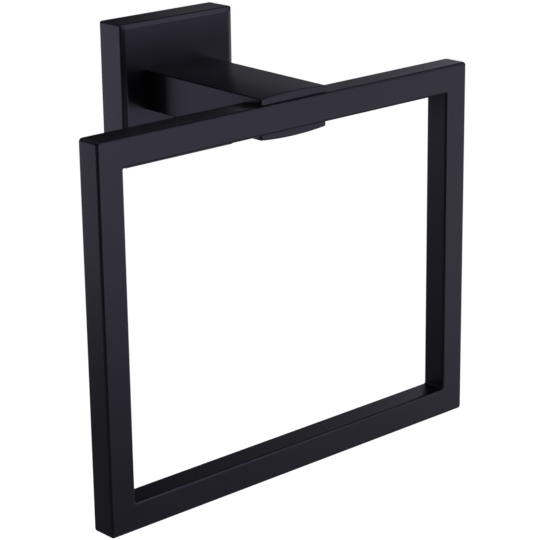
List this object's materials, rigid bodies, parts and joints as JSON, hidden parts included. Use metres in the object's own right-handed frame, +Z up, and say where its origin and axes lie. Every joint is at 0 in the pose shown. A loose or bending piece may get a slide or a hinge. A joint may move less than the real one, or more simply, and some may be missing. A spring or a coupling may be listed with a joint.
{
  "type": "towel ring",
  "caption": "Square towel ring: a rectangular frame of square bar, held in the forked end of a cambered arm on a square bevelled wall base with a hidden bracket.",
  "frame": {"origin": "on the wall, at the middle of the base, which is the middle of the bracket's wall screw slots", "axes": "+X to the right along the wall, +Y into the wall, +Z up; the ring stands out towards -Y"},
  "size_m": [0.1644, 0.0705, 0.1505],
  "materials": {
    "black_coat": "satin black coat",
    "plated_steel": "zinc plated",
    "black_steel": "black oxide"
  },
  "bodies": {
    "root": {"base_cover": "black_coat", "arm": "black_coat", "ring": "black_coat", "wall_bracket": "plated_steel", "base_set_screw": "black_steel", "ring_set_screw": "black_steel", "arm_screw": "plated_steel", "arm_washer": "plated_steel", "arm_lock_washer": "plated_steel"}
  },
  "joints": []
}
